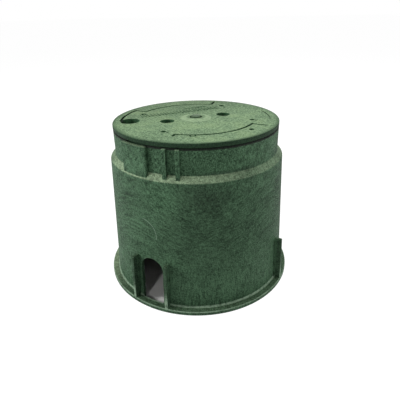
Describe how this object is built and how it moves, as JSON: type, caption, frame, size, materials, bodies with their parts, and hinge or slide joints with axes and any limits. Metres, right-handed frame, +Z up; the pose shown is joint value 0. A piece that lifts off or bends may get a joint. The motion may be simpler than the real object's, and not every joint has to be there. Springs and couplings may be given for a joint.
{
  "type": "round valve box",
  "caption": "Round green plastic in-ground valve box with a drop-in lid, quarter-turn lock bolt and pipe slots, which houses a backflow preventer or irrigation valve.",
  "frame": {"origin": "on the ground, at the middle of the base flange's underside", "axes": "+Z up along the box's axis; the two pipe slots face -Y and +Y"},
  "size_m": [0.3134, 0.3134, 0.2634],
  "materials": {
    "body_plastic": "moulded polyethylene, matt, with flow marks and scuffs",
    "lid_plastic": "moulded polyethylene, matt, fine grain, sun-faded",
    "stainless": "plain stainless, dull",
    "zinc_steel": "zinc plated",
    "nylon": "natural nylon"
  },
  "bodies": {
    "box": {"box_body": "body_plastic"},
    "lid": {"lid": "lid_plastic"},
    "lock": {"lock_bolt": "stainless", "head_washer": "stainless", "bolt_retainer": "nylon", "jam_nut": "stainless", "lock_bar": "zinc_steel", "bar_washer": "stainless", "lock_nut": "stainless"}
  },
  "joints": [
    {"name": "lid_lift", "type": "slide", "parent": "box", "child": "lid", "axis": [0, 0, 1], "range_m": [0, 0.11]},
    {"name": "lock_turn", "type": "hinge", "parent": "lid", "child": "lock", "pos_m": [0, 0, 0.2559], "axis": [0, 0, 1], "range_deg": [0, 90]}
  ]
}
